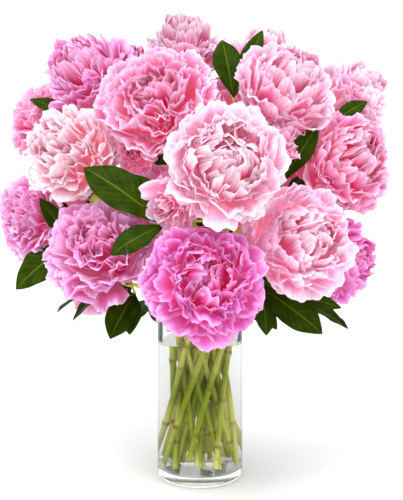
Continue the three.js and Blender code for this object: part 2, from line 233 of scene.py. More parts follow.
def petalPattern():
    # root, body and edge colours run along each petal with fine streaks, and a painted glow, brightest at
    # their roots, stands in for light deep between them
    marks = petalMarks
    graph, given, made = newGroup(
        "petalPattern", "ShaderNodeTree",
        [("Root", "NodeSocketColor", (0.7, 0.1, 0.3, 1)), ("Body", "NodeSocketColor", (0.8, 0.4, 0.6, 1)),
         ("Edge", "NodeSocketColor", (0.9, 0.8, 0.9, 1)), ("Heart", "NodeSocketColor", (0.7, 0.1, 0.2, 1))],
        [("Colour", "NodeSocketColor"), ("Relief", "NodeSocketFloat"), ("Glow", "NodeSocketColor"),
         ("Through", "NodeSocketColor")])
    across, along = graph.bladePlace()
    tone, outer, depth = [graph.attribute(name) for name in ("tone", "outer", "depth")]
    ways = zip((across, along, tone), marks["streaks"])
    course = [graph.math("MULTIPLY", way, times) for way, times in ways]
    lines = graph.node("ShaderNodeCombineXYZ", i0=course[0], i1=course[1], i2=course[2])
    streaks = graph.noise(lines, 1.0, marks["streakDetail"])
    spots = graph.noise(graph.objectPlace(), marks["spots"], marks["spotDetail"])
    stray = graph.math("MULTIPLY_ADD", streaks, marks["stray"], -marks["stray"] / 2)
    reach = graph.math("ADD", along, stray)

    # the edge's colour at the tip and sides, broken up by spots and fainter near the heart
    side = graph.math("ABSOLUTE", graph.math("MULTIPLY_ADD", across, 2.0, -1.0))
    rim = graph.math("MULTIPLY", graph.ramp(side, *marks["side"]), graph.ramp(along, *marks["sideAlong"]))
    rim = graph.math("MULTIPLY", rim, marks["sideShare"])
    edge = graph.math("MAXIMUM", graph.ramp(reach, *marks["tip"]), rim)
    edge = graph.math("MULTIPLY", edge, graph.math("MULTIPLY_ADD", spots, *marks["edgeSpots"]))
    fade = graph.math("MULTIPLY_ADD", graph.ramp(depth, *marks["inner"]), marks["heartEdge"], 1.0)
    edge = graph.math("MULTIPLY", graph.math("MINIMUM", edge, 1.0), fade)

    # the root's colour, fainter on the guard petals and on a petal's back; it is the petals' own deeper base,
    # made darker to also stand as painted shade in the recesses between petals
    guard = graph.math("MULTIPLY_ADD", graph.ramp(depth, *marks["guard"]), marks["guardRoot"], 1.0)
    deep = graph.math("MULTIPLY", graph.ramp(reach, *marks["root"]), guard)
    back = graph.math("MULTIPLY_ADD", outer, marks["backRoot"], 1.0)
    skin = graph.blend(graph.math("MULTIPLY", deep, back), given["Body"], given["Root"])
    skin = graph.blend(graph.math("MULTIPLY", tone, marks["toneShare"]), skin, given["Edge"])
    heart = graph.math("MULTIPLY_ADD", deep, *marks["heartShare"])
    heart = graph.math("MULTIPLY", graph.ramp(depth, *marks["heart"]), heart)
    skin = graph.blend(heart, skin, given["Heart"])
    skin = graph.blend(edge, skin, given["Edge"])

    # each petal is a little lighter or darker than the next
    shade = graph.math("MINIMUM", graph.math("MULTIPLY_ADD", tone, *marks["shade"]), marks["mostShade"])
    grey = graph.node("ShaderNodeCombineColor", i0=shade, i1=shade, i2=shade)
    # painted light: each petal glows with its own colour, most near its root, standing in for light that
    # passes between petals
    paintedGlow = graph.math("MULTIPLY_ADD", deep, *marks["paintedGlowShare"])
    graph.feed(made["Colour"], graph.blend(1.0, skin, grey, "MULTIPLY"))
    graph.feed(made["Through"], graph.blend(marks["throughShare"], skin, skin, "MULTIPLY"))
    graph.feed(made["Relief"], streaks)
    graph.feed(made["Glow"], graph.blend(paintedGlow, colour("000000"), skin))
    return graph.tree


# the rib's half width, the veins' number, slant, width and ends, their strengths, and the mottles
leafMarks = dict(
    rib=(0.035, 0.012), veins=9.0, slant=-5.0, vein=(0.16, 0.03), veinEnd=(0.5, 0.36),
    ribShare=0.9, veinShare=0.45, spots=90.0, spotDetail=4.0, mottle=(1.6, -0.5), mottleShare=0.35,
)


def leafPattern():
    # a pale rib and side veins on a mottled green
    marks = leafMarks
    graph, given, made = newGroup(
        "leafPattern", "ShaderNodeTree",
        [("Green", "NodeSocketColor", (0.05, 0.15, 0.02, 1)),
         ("Vein", "NodeSocketColor", (0.2, 0.35, 0.1, 1))],
        [("Colour", "NodeSocketColor"), ("Relief", "NodeSocketFloat")])
    across, along = graph.bladePlace()
    side = graph.math("ABSOLUTE", graph.math("SUBTRACT", across, 0.5))
    rib = graph.math("MULTIPLY", graph.ramp(side, *marks["rib"]), marks["ribShare"])
    course = graph.math("MULTIPLY_ADD", along, marks["veins"], graph.math("MULTIPLY", side, marks["slant"]))
    wave = graph.math("ABSOLUTE", graph.math("SINE", graph.math("MULTIPLY", course, math.pi)))
    veins = graph.math("MULTIPLY", graph.ramp(wave, *marks["vein"]), graph.ramp(side, *marks["veinEnd"]))
    lines = graph.math("MAXIMUM", rib, graph.math("MULTIPLY", veins, marks["veinShare"]))
    spots = graph.noise(graph.objectPlace(), marks["spots"], marks["spotDetail"])
    mottle = graph.blend(marks["mottleShare"], given["Green"], given["Vein"])
    skin = graph.blend(graph.math("MULTIPLY_ADD", spots, *marks["mottle"]), given["Green"], mottle)
    graph.feed(made["Colour"], graph.blend(lines, skin, given["Vein"]))
    graph.feed(made["Relief"], graph.math("SUBTRACT", spots, lines))
    return graph.tree


# the size of broad patches and of specks, where each begins, how spots break up a knuckle, and how deep the
# cut's colour goes
stemMarks = dict(
    broad=14.0, broadDetail=2.0, lime=(0.35, 0.65), spots=60.0, spotDetail=4.0, speck=(0.56, 0.72),
    speckShare=0.35, ring=(1.6, -0.2), brown=(0.25, 0.95), cut=(0.8 * mm, 0.2 * mm),
)


def stemPattern():
    # mottled green with brown knuckles and a pale cut
    marks = stemMarks
    graph, given, made = newGroup(
        "stemPattern", "ShaderNodeTree",
        [("Green", "NodeSocketColor", (0.1, 0.2, 0.02, 1)), ("Lime", "NodeSocketColor", (0.4, 0.6, 0.1, 1)),
         ("Brown", "NodeSocketColor", (0.2, 0.1, 0.02, 1)), ("Cut", "NodeSocketColor", (0.8, 0.8, 0.5, 1))],
        [("Colour", "NodeSocketColor"), ("Relief", "NodeSocketFloat")])
    along, knuckle = graph.attribute("along"), graph.attribute("knuckle")
    spots = graph.noise(graph.objectPlace(), marks["spots"], marks["spotDetail"])
    broad = graph.noise(graph.objectPlace(), marks["broad"], marks["broadDetail"])
    skin = graph.blend(graph.ramp(broad, *marks["lime"]), given["Green"], given["Lime"])
    specks = graph.math("MULTIPLY", graph.ramp(spots, *marks["speck"]), marks["speckShare"])
    skin = graph.blend(specks, skin, given["Brown"])
    ring = graph.math("MULTIPLY", knuckle, graph.math("MULTIPLY_ADD", spots, *marks["ring"]))
    skin = graph.blend(graph.ramp(ring, *marks["brown"]), skin, given["Brown"])
    graph.feed(made["Colour"], graph.blend(graph.ramp(along, *marks["cut"]), skin, given["Cut"]))
    graph.feed(made["Relief"], spots)
    return graph.tree


patterns = dict(petal=petalPattern(), leaf=leafPattern(), stem=stemPattern())
bumpStrength = 0.4  # how strongly every pattern's relief shows


def patternedSkin(name, pattern, tones, roughness, clear, relief, paintedGlow=0.0, shine=0.35):
    # a Principled skin coloured by a pattern, which lets part of the light through, and glows with painted
    # light where a glow strength is given
    skin = bpy.data.materials.new(name)
    skin.use_nodes = True
    tree = skin.node_tree
    graph = Graph(tree)
    shader = tree.nodes["Principled BSDF"]
    group = tree.nodes.new("ShaderNodeGroup")
    group.node_tree = patterns[pattern]
    for label, tone in tones.items():
        group.inputs[label].default_value = colour(tone)
    graph.feed(shader.inputs["Base Color"], group.outputs["Colour"])
    shader.inputs["Roughness"].default_value = roughness
    shader.inputs["Specular IOR Level"].default_value = shine
    # painted light: the skin's emission is a painted glow, not a lamp
    if paintedGlow:
        graph.feed(shader.inputs["Emission Color"], group.outputs["Glow"])
        shader.inputs["Emission Strength"].default_value = paintedGlow
    height = group.outputs["Relief"]
    bump = graph.node("ShaderNodeBump", Strength=bumpStrength, Distance=relief, Height=height)
    graph.feed(shader.inputs["Normal"], bump)
    through = tree.nodes.new("ShaderNodeBsdfTranslucent")
    passing = "Through" if "Through" in group.outputs else "Colour"
    graph.feed(through.inputs["Color"], group.outputs[passing])
    graph.surface(clear, shader.outputs[0], through.outputs[0])
    return skin


def bladeMesh(name, middle, normal, thickness):
    # a closed thin blade from a grid of points and normals, front and back joined along its edge,
    # mapped across and along, with its back marked
    rows, columns = middle.shape[:2]
    inside = np.zeros((rows, columns), dtype=bool)
    inside[1:-1, 1:-1] = True
    offset = normal * (np.broadcast_to(thickness, inside.shape) / 2 * inside)[..., None]
    front = np.arange(rows * columns).reshape(rows, columns)
    back = front.copy()
    back[inside] = rows * columns + np.arange(inside.sum())
    points = np.concatenate([(middle + offset).reshape(-1, 3), (middle - offset)[inside]])
    corners = lambda g: np.stack([g[:-1, :-1], g[:-1, 1:], g[1:, 1:], g[1:, :-1]], axis=2).reshape(-1, 4)
    quads = np.concatenate([corners(front), corners(back)[:, ::-1]])
    mesh = meshOf(name, points, quads.tolist())
    u, v = np.meshgrid(np.linspace(0, 1, columns), np.linspace(0, 1, rows))
    place = np.stack([u, v], axis=2)
    place = np.concatenate([place.reshape(-1, 2), place[inside]])
    layer = mesh.uv_layers.new(name="bladeMap")
    layer.data.foreach_set("uv", place[quads.ravel()].ravel())
    marks = np.repeat([0.0, 1.0], len(quads) // 2)
    mesh.attributes.new("outer", "FLOAT", "FACE").data.foreach_set("value", marks)
    return mesh


def bezier(points, t):
    t = t[..., None]
    share = [(1 - t) ** 3, 3 * t * (1 - t) ** 2, 3 * t * t * (1 - t), t ** 3]
    return sum(np.asarray(p, dtype=float) * s for p, s in zip(points, share))


def archOf(start, middle, end, t):
    # an arched line from its start to its end, drawn towards its middle point
    return start * (1 - t) ** 2 + middle * 2 * t * (1 - t) + end * t ** 2


def bladeFrame(start, end, outward):
    # a blade's length, the way it runs, and the way its face looks, square to that
    length = np.linalg.norm(end - start)
    along = (end - start) / length
    return length, along, unit(outward - along * (outward @ along))


def gridNormals(points):
    n = np.cross(np.gradient(points, axis=1), np.gradient(points, axis=0))
    return n / np.maximum(np.linalg.norm(n, axis=2), 1e-9)[..., None]


def spaced(count, crowd):
    # places from 0 to 1 that crowd towards the end
    return 1 - (1 - np.linspace(0, 1, count)) ** crowd


def pointsOf(mesh):
    points = np.empty(len(mesh.vertices) * 3)
    mesh.vertices.foreach_get("co", points)
    return points.reshape(-1, 3)


def movePoints(mesh, points):
    mesh.vertices.foreach_set("co", points.ravel())
    mesh.update()


def turnTo(axis):
    # the matrix that stands the Z axis along another
    cross = np.cross(up, axis)
    k = np.array([[0, -cross[2], cross[1]], [cross[2], 0, -cross[0]], [-cross[1], cross[0], 0]])
    return np.eye(3) + k + k @ k / (1 + axis[2])


def joined(name, meshes):
    # several meshes as one, with their maps and attributes
    things = [objectOf(mesh.name, mesh) for mesh in meshes]
    with bpy.context.temp_override(active_object=things[0], selected_editable_objects=things):
        bpy.ops.object.join()
    mesh = things[0].data
    bpy.data.objects.remove(things[0])
    mesh.name = name
    return mesh


def arranger():
    # stands the shapes of a set round the Z axis, from first to last, each turned on from the one before
    graph, given, made = newGroup(
        "arranger", "GeometryNodeTree",
        [("Core", "NodeSocketGeometry", None), ("Set", "NodeSocketCollection", None),
         ("Count", "NodeSocketInt", 100), ("Shapes", "NodeSocketInt", 26), ("Turn", "NodeSocketFloat", 2.4),
         ("Sway", "NodeSocketFloat", 0.1), ("Vary", "NodeSocketFloat", 0.08), ("Seed", "NodeSocketInt", 1),
         ("Skin", "NodeSocketMaterial", None)],
        [("Geometry", "NodeSocketGeometry")])
    draw = lambda low, high, seed: graph.node(
        "FunctionNodeRandomValue", out=1, settings=dict(data_type="FLOAT"), i2=low, i3=high,
        Seed=graph.math("ADD", given["Seed"], float(seed)))
    about = lambda size, seed: draw(graph.math("MULTIPLY", size, -1.0), size, seed)
    index = graph.node("GeometryNodeInputIndex")
    turn = graph.math("ADD", graph.math("MULTIPLY", index, given["Turn"]), about(given["Sway"], 1))
    spin = graph.node("ShaderNodeCombineXYZ", i0=about(given["Sway"], 2), i1=about(given["Sway"], 3),
                      i2=turn)
    share = graph.math("DIVIDE", graph.math("ADD", index, draw(0.0, 1.0, 4)), given["Count"])
    size = graph.math("ADD", 1.0, about(given["Vary"], 5))
    spread = graph.tree.nodes.new("GeometryNodeInstanceOnPoints")
    spread.inputs["Pick Instance"].default_value = True
    for key, value in {
        "Points": graph.node("GeometryNodeMeshLine", Count=given["Count"], Offset=(0, 0, 0)),
        "Instance": graph.node("GeometryNodeCollectionInfo", i0=given["Set"], i1=True, i2=True),
        "Instance Index": graph.math("FLOOR", graph.math("MULTIPLY", share, given["Shapes"])),
        "Rotation": spin,
        "Scale": graph.node("ShaderNodeCombineXYZ", i0=size, i1=size, i2=size),
    }.items():
        graph.feed(spread.inputs[key], value)
    tones = graph.tree.nodes.new("GeometryNodeStoreNamedAttribute")
    tones.data_type, tones.domain = "FLOAT", "INSTANCE"
    tones.inputs["Name"].default_value = "tone"
    graph.feed(tones.inputs["Geometry"], spread.outputs[0])
    graph.feed(tones.inputs["Value"], draw(0.0, 1.0, 6))
    whole = graph.tree.nodes.new("GeometryNodeJoinGeometry")
    graph.feed(whole.inputs[0], given["Core"])
    graph.feed(whole.inputs[0], graph.node("GeometryNodeRealizeInstances", i0=tones.outputs[0]))
    skinned = graph.node("GeometryNodeSetMaterial", Geometry=whole.outputs[0], Material=given["Skin"])
    graph.feed(made["Geometry"], skinned)
    return graph.tree


def tuber():
    # a tube along a line of points, as thick at each as its girth says, with closed ends
    graph, given, made = newGroup(
        "tuber", "GeometryNodeTree",
        [("Line", "NodeSocketGeometry", None), ("Sides", "NodeSocketInt", 10),
         ("Skin", "NodeSocketMaterial", None)],
        [("Geometry", "NodeSocketGeometry")])
    girth = graph.node("GeometryNodeInputNamedAttribute", settings=dict(data_type="FLOAT"), Name="girth")
    line = graph.node("GeometryNodeMeshToCurve", Mesh=given["Line"])
    line = graph.node("GeometryNodeSetCurveRadius", Curve=line, Radius=girth)
    profile = graph.node("GeometryNodeCurvePrimitiveCircle", Resolution=given["Sides"], Radius=1.0)
    tube = graph.tree.nodes.new("GeometryNodeCurveToMesh")
    tube.inputs["Fill Caps"].default_value = True
    if "Scale" in tube.inputs:
        graph.feed(tube.inputs["Scale"], girth)
    graph.feed(tube.inputs["Curve"], line)
    graph.feed(tube.inputs["Profile Curve"], profile)
    real = graph.node("GeometryNodeRealizeInstances", i0=tube.outputs[0])
    skinned = graph.node("GeometryNodeSetMaterial", Geometry=real, Material=given["Skin"])
    graph.feed(made["Geometry"], skinned)
    return graph.tree


trees = dict(arranger=arranger(), tuber=tuber())


def grown(name, tree, base, **values):
    # runs a node tree on a mesh with named inputs, and keeps the plain mesh that it gives
    thing = objectOf(name, base)
    modifier = thing.modifiers.new("grow", "NODES")
    modifier.node_group = trees[tree]
    for item in trees[tree].interface.items_tree:
        if item.in_out == "INPUT" and item.name in values:
            modifier[item.identifier] = values[item.name]
    thing.update_tag()
    graph = bpy.context.evaluated_depsgraph_get()
    mesh = bpy.data.meshes.new_from_object(thing.evaluated_get(graph), preserve_all_data_layers=True,
                                           depsgraph=graph)
    bpy.data.objects.remove(thing)
    mesh.name = name
    return mesh


def turned(profile, sides):
    # a closed surface turned round the Z axis from a profile of (radius, height) that starts and ends on it
    rings = [(r, z) for r, z in profile if r > 0]
    angles = np.arange(sides) * 2 * math.pi / sides
    points = [(0, 0, profile[0][1])]
    points += [(r * math.cos(a), r * math.sin(a), z) for r, z in rings for a in angles]
    points += [(0, 0, profile[-1][1])]
    at = lambda ring, k: 1 + ring * sides + k % sides
    faces = [(0, at(0, k + 1), at(0, k)) for k in range(sides)]
    faces += [(at(i, k), at(i, k + 1), at(i + 1, k + 1), at(i + 1, k))
              for i in range(len(rings) - 1) for k in range(sides)]
    faces += [(at(len(rings) - 1, k), at(len(rings) - 1, k + 1), len(points) - 1) for k in range(sides)]
    return points, faces


anyPhase = 6.3  # a wave starts anywhere in a little more than a full turn, in radians
goldenTurn = 2.39996  # from one petal to the next, in radians

# each flower's centre and radius in mm, the way it faces in degrees, its ring in the bundle, tint and form
flowers = {
    "front_low": ((4, -140, 229), 60, (-84, 12), "outer", "magenta", "frill"),
    "centre": ((21, -150, 334), 62, (-82, 8), "second", "pale", "globe"),
    "crown_left": ((-41, -98, 408), 60, (-100, 18), "third", "rose", "rose"),
    "crown_right": ((86, -60, 428), 53, (-72, 24), "third", "blush", "globe"),
    "left": ((-133, -68, 364), 53, (-112, 14), "second", "cream", "frill"),
    "left_low": ((-99, -98, 261), 55, (-98, 30), "outer", "orchid", "rose"),
    "far_left": ((-196, 2, 310), 50, (-130, 6), "outer", "orchid", "rose"),
    "right": ((154, -36, 360), 53, (-62, 10), "second", "rose", "globe"),
    "right_low": ((94, -94, 270), 56, (-74, 8), "outer", "blush", "globe"),
    "far_right": ((149, -20, 256), 49, (-42, 0), "outer", "magenta", "frill"),
    "upper_left": ((-124, -8, 464), 53, (-120, 34), "third", "orchid", "frill"),
    "top": ((-17, 0, 500), 46, (-92, 48), "middle", "blush", "frill"),
    "top_right": ((76, 40, 500), 47, (-60, 54), "middle", "pale", "frill"),
    "right_up": ((187, 38, 459), 47, (-30, 34), "third", "blush", "frill"),
    "far_left_up": ((-200, 52, 438), 50, (-155, 28), "third", "rose", "rose"),
    "heart": ((-44, -84, 312), 44, (-108, 10), "second", "rose", "frill"),
    "back_low": ((-18, 140, 240), 62, (98, 8), "outer", "pale", "globe"),
    "back": ((28, 158, 345), 64, (82, 14), "second", "rose", "rose"),
    "back_left": ((-88, 140, 334), 62, (118, 12), "second", "cream", "frill"),
    "back_crown": ((-38, 92, 440), 64, (108, 36), "third", "orchid", "rose"),
    "back_high": ((80, 128, 435), 60, (68, 34), "third", "blush", "globe"),
    "back_right": ((142, 92, 350), 62, (40, 12), "second", "orchid", "frill"),
    "back_right_low": ((98, 118, 245), 60, (52, 4), "outer", "magenta", "rose"),
    "back_left_low": ((-132, 90, 250), 60, (142, 4), "outer", "rose", "frill"),
    "back_left_high": ((-166, 92, 350), 54, (148, 16), "second", "blush", "globe"),
    "inner_front": ((74, -76, 370), 40, (-70, 60), "middle", "rose", "frill"),
    "shoulder_left": ((-104, 56, 446), 54, (150, 74), "middle", "pale", "globe"),
    "shoulder": ((30, 44, 450), 51, (-20, 80), "middle", "rose", "rose"),
}
middles = {name: np.array(row[0]) * mm for name, row in flowers.items()}
radii = {name: row[1] * mm for name, row in flowers.items()}
axes = {name: facing(*row[2]) for name, row in flowers.items()}

# each tint's colours; the Root colours are the petals' deeper base colour, made darker to also stand as
# painted shade in the recesses between petals
petalTones = {
    "magenta": dict(Root="e80e96", Body="f68ce0", Edge="fbdcfa", Heart="e42270"),
    "rose": dict(Root="e81e7c", Body="fabae2", Edge="feeef9", Heart="da1858"),
    "orchid": dict(Root="da1e78", Body="f8b4e6", Edge="fbe6fa", Heart="cc1850"),
    "blush": dict(Root="e8509a", Body="fadcf0", Edge="fef4fb", Heart="dc4880"),
    "pale": dict(Root="ec5ea4", Body="fce8f5", Edge="fef7fb", Heart="dc4478"),
    "cream": dict(Root="ea7298", Body="fae2ee", Edge="fefcfd", Heart="da5c88"),
}
# each tint's petal skin, glowing with painted light
petalSkins = {
    tint: patternedSkin("petal_" + tint, "petal", tones, roughness=0.5, clear=0.5, relief=0.0006, paintedGlow=0.3)
    for tint, tones in petalTones.items()
}

# how a petal changes in even steps from the guard petals to the heart: where its tip stands out from the axis
# and along it, how it leans out there in degrees, and its width, its bend across, its ruffles and its notches
petalForms = {
    "rose": dict(
        petals=124, rings=7, loose=0.09, out=(1.03, 0.92, 0.7, 0.42, 0.06),
        rise=(0.04, 0.34, 0.58, 0.7, 0.64), lean=(94, 66, 44, 16, -40), width=(0.76, 0.52, 0.4, 0.34, 0.28),
        spoon=(1.5, 0.9, 0.6, 0.42, 0.3), ruffle=(0.055, 0.05, 0.045, 0.04, 0.035),
        notch=(0.045, 0.04, 0.035, 0.035, 0.03)),
    "globe": dict(
        petals=118, rings=7, loose=0.08, out=(1.02, 0.92, 0.68, 0.38, 0.0),
        rise=(0.1, 0.4, 0.7, 0.9, 0.98), lean=(84, 44, 4, -34, -70), width=(0.94, 0.62, 0.48, 0.42, 0.38),
        spoon=(1.3, 0.6, 0.44, 0.38, 0.36), ruffle=(0.055, 0.045, 0.04, 0.035, 0.035),
        notch=(0.04, 0.04, 0.035, 0.035, 0.035)),
    "frill": dict(
        petals=140, rings=8, loose=0.09, out=(1.0, 0.92, 0.7, 0.42, 0.04),
        rise=(0.06, 0.4, 0.68, 0.86, 0.95), lean=(88, 54, 24, -14, -54),
        width=(0.8, 0.48, 0.37, 0.32, 0.28), spoon=(1.2, 0.46, 0.34, 0.3, 0.27),
        ruffle=(0.05, 0.04, 0.035, 0.03, 0.03), notch=(0.04, 0.035, 0.03, 0.03, 0.03)),
}
# how every petal is made: sizes in shares of a bloom's radius, places along the petal from 0 to 1, angles in
# degrees, and what varies at random from petal to petal
petalMake = dict(
    shapes=26, thickness=0.014, sharp=70, seed=5,
    root=((0.14, -0.44), (0.02, -0.12)),  # out and up, for a guard petal and for the heart's
    handles=(0.4, 0.42), firstHandle=(1.5, 1.0), swell=(-8, 50), swellPower=0.7,  # how the spine curves
    lobes=(1.2, 1.6), fringe=(4, 2), fringeShare=0.45, notchFrom=0.4,  # least notches and how many more
    corner=0.13, cornerPower=3.6,  # how much the tip is rounded
    crowd=1.5, claw=0.24, flare=2.2, narrowing=0.12, narrowFrom=0.8, bend=(0.7, 1.15),  # along the petal
    waves=((1.0, 2.0, 3.2), (0.7, 4.5, 7.0), (0.55, 9, 12)),  # each ruffle's share, least and most waves
    wavesFrom=(0.5, 0.7), phase=3,
    leanVary=22, widthVary=0.2, bendVary=0.25, ruffleVary=0.4, skew=0.08,
    ringShare=0.5,  # how far petals gather in rings
    sway=0.17, vary=0.1,  # how far each is turned and sized at random as it is placed
)

# the share of its petals that a bloom has in front or at the back, how much wider they are, and the rows of
# their grid, and its columns from the guard petals to the heart
petalDetails = {
    "near": dict(share=1.0, wider=1.0, rows=7, columns=(16, 9)),
    "far": dict(share=0.62, wider=1.2, rows=5, columns=(9, 6)),
}
farLine = 54 * mm  # blooms behind it have fewer, wider petals


def opening(v, claw):
    # how a petal widens from its claw
    return claw + (1 - claw) * (1 - (1 - v) ** petalMake["flare"])


def closing(v):
    # how it narrows again towards its tip
    return 1 - petalMake["narrowing"] * smooth(petalMake["narrowFrom"], 1, v)


def petalMesh(name, form, detail, t, rng):
    # one petal of a bloom of radius 1, standing at azimuth 0: x runs out from the axis and z along it
    make = petalMake
    columns = round(mix(*detail["columns"], t))
    u, v = np.meshgrid(np.linspace(-1, 1, columns), spaced(detail["rows"], make["crowd"]))
    jitter = lambda size: size * (2 * rng.random() - 1)
    stage = lambda key, at=t: float(np.interp(at, np.linspace(0, 1, len(form[key])), form[key]))

    # its spine, from its root out to its tip
    ringed = mix(t, math.ceil(t * form["rings"]) / form["rings"], make["ringShare"])
    out = stage("out", ringed) + jitter(form["loose"])
    tip = np.array([out, 0, stage("rise", ringed) + jitter(form["loose"])])
    lean = math.radians(stage("lean") + jitter(make["leanVary"]))
    (rootOut, rootRise), (heartOut, heartRise) = make["root"]
    root = np.array([mix(rootOut, heartOut, t), 0, mix(rootRise, heartRise, t)])
    length = np.linalg.norm(tip - root)
    swell = facing(0, mix(*make["swell"], t ** make["swellPower"]))
    first, last = make["handles"]
    spine = [root, root + swell * length * first * mix(*make["firstHandle"], t),
             tip - np.array([math.sin(lean), 0, math.cos(lean)]) * length * last, tip]

    # its notched edge
    rounds = [math.pi * (least + more * rng.random()) * u + jitter(make["phase"])
              for least, more in (make["lobes"], make["fringe"])]
    lobes, fringe = [0.5 - 0.5 * np.cos(course) for course in rounds]
    notch = stage("notch") * (lobes + make["fringeShare"] * fringe)
    corner = make["corner"] * np.abs(u) ** make["cornerPower"]
    reach = v * (1 - corner - notch * smooth(make["notchFrom"], 1, v))
    line = bezier(spine, reach)
    ahead = bezier(spine, reach + 0.01) - line
    ahead /= np.linalg.norm(ahead, axis=2)[..., None]

    # its width, its bend across and its ruffles
    width = stage("width") * detail["wider"] * (1 + jitter(make["widthVary"])) / 2
    spread = width * opening(v, make["claw"]) * closing(v)
    bend = stage("spoon") * (1 + jitter(make["bendVary"])) * mix(*make["bend"], v)
    turn = u * spread / bend
    wave = 0
    grows = [v ** 2] + [smooth(start, 1, v) for start in make["wavesFrom"]]
    for (share, least, most), grow in zip(make["waves"], grows):
        wave = wave + share * np.sin(mix(least, most, rng.random()) * u + jitter(make["phase"])) * grow
    inward = bend * (1 - np.cos(turn)) + stage("ruffle") * (1 + jitter(make["ruffleVary"])) * wave
    inward += jitter(make["skew"]) * u * v
    points = np.stack([line[..., 0] - ahead[..., 2] * inward, bend * np.sin(turn),
                       line[..., 2] + ahead[..., 0] * inward], axis=2)
    mesh = bladeMesh(name, points, gridNormals(points), make["thickness"])
    mesh.attributes.new("depth", "FLOAT", "POINT").data.foreach_set("value", [t] * len(mesh.vertices))
    return mesh


def shelfOf(name, meshes):
    # a hidden collection of shapes, which Geometry Nodes reads in the order of their names
    shelf = bpy.data.collections.new(name)
    for i, mesh in enumerate(meshes):
        objectOf("%s_%02d" % (name, i), mesh, shelf)
    return shelf


def petalSet(kind, detail):
    rng = np.random.default_rng(petalMake["seed"] + list(petalForms).index(kind))
    steps = np.linspace(0, 1, petalMake["shapes"])
    form, made = petalForms[kind], petalDetails[detail]
    petals = [petalMesh("petal", form, made, float(t), rng) for t in steps]
    return shelfOf("petals_%s_%s" % (kind, detail), petals)


# how near a neighbour has to be, where in the room up to it the pushing starts, and the gap that is left
press = dict(reach=1.25, start=0.8, gap=-8 * mm)

# how wide the blooms spread their petals, as shares of their radius: some wider or tighter than usual
fullness = dict(
    usual=1.04, centre=0.89, left=1.02, right=1.09, right_low=1.05, far_right=1.08, crown_right=1.06,
    crown_left=1.06, front_low=0.96, top=1.03, heart=0.9, right_up=1.06, upper_left=1.08, left_low=1.06,
    top_right=1.06, inner_front=0.8,
)

# how far some blooms' petals are paler, or deeper where it is negative, than the rest of their tint;
# right_low's is painted light, lifting the shade that falls on it under the centre bloom
paler = dict(right_low=1.2, left=0.3, top=-0.7)


def paled(mesh, amount):
    # moves the tone of all of a bloom's petals
    tones = mesh.attributes["tone"].data
    values = np.empty(len(tones), np.float32)
    tones.foreach_get("value", values)
    tones.foreach_set("value", values + amount)


def pressed(name, points):
    # pushes a bloom's points back where it meets its neighbours, the nearer the harder
    for other in flowers:
        towards = middles[other] - middles[name]
        apart = np.linalg.norm(towards)
        if other == name or apart > press["reach"] * (radii[name] + radii[other]):
            continue
        towards = towards / apart
        room = (apart ** 2 + radii[name] ** 2 - radii[other] ** 2) / (2 * apart) - press["gap"] / 2
        start = press["start"] * room
        far = (points - middles[name]) @ towards
        kept = start + (room - start) * (1 - np.exp((start - far) / (room - start)))
        points = points + np.where(far > start, kept - far, 0.0)[:, None] * towards
    return points


# how many waves pass through a bloom, how far they move its petals and how long they are
sway = dict(seed=11, waves=5, size=2.4 * mm, length=38 * mm)


def swayed(points, seed):
    # slow random waves that bend neighbouring petals alike
    rng = np.random.default_rng(sway["seed"] + seed)
    moved = points.copy()
    for _ in range(sway["waves"]):
        course = unit(rng.normal(size=3)) * 2 * math.pi / sway["length"]
        shift = sway["size"] / 2 * np.sin(points @ course + rng.random() * anyPhase)
        moved += shift[:, None] * unit(rng.normal(size=3))
    return moved


core = dict(radius=0.24, height=-0.34, length=0.16, rings=7, sides=16)  # in shares of a bloom's radius


def coreMesh():
    # the small knob in a bloom's middle, which all its petals grow from
    angles = np.linspace(-math.pi / 2, math.pi / 2, core["rings"])
    middle, length = core["height"], core["length"]
    profile = [(core["radius"] * math.cos(a), middle + length * math.sin(a)) for a in angles]
    profile[0], profile[-1] = (0, profile[0][1]), (0, profile[-1][1])
    return meshOf("core", *turned(profile, core["sides"]))


# tufts of petals that burst out of a bloom's side: its name, the petals' tint and form, the tuft's centre
# and radius in mm, the way it faces in degrees, and how many petals it has
tufts = [
    ("centre", "blush", "rose", (-26, -134, 306), 30, (-128, -24), 50),
    ("crown_left", "rose", "rose", (-64, -98, 364), 25, (-108, -14), 44),
    ("crown_left", "rose", "frill", (-4, -116, 378), 26, (-84, -30), 50),
    ("upper_left", "orchid", "frill", (-78, -4, 486), 27, (-90, 46), 56),
]

# single petals that hang out of a bloom: its name, the petal's tint, where it starts and ends in mm, the way
# its face looks in degrees, and its width in mm
loosePetals = [
    ("centre", "blush", (-14, -138, 322), (-57, -150, 314), (-100, -20), 20),
    ("centre", "pale", (14, -166, 306), (20, -186, 276), (-88, 12), 32),
    ("centre", "pale", (32, -160, 312), (54, -178, 292), (-70, 5), 22),
]
# their grid, then shares of their length or width
looseForm = dict(
    grid=(11, 15), arch=0.16, cup=0.7, ruffle=0.1, corner=0.16, notch=0.06, notches=5, claw=0.3,
    waves=((1.0, 2.6), (0.6, 6)), wavesFrom=0.5, phase=6, thickness=0.9 * mm, seed=60,
)


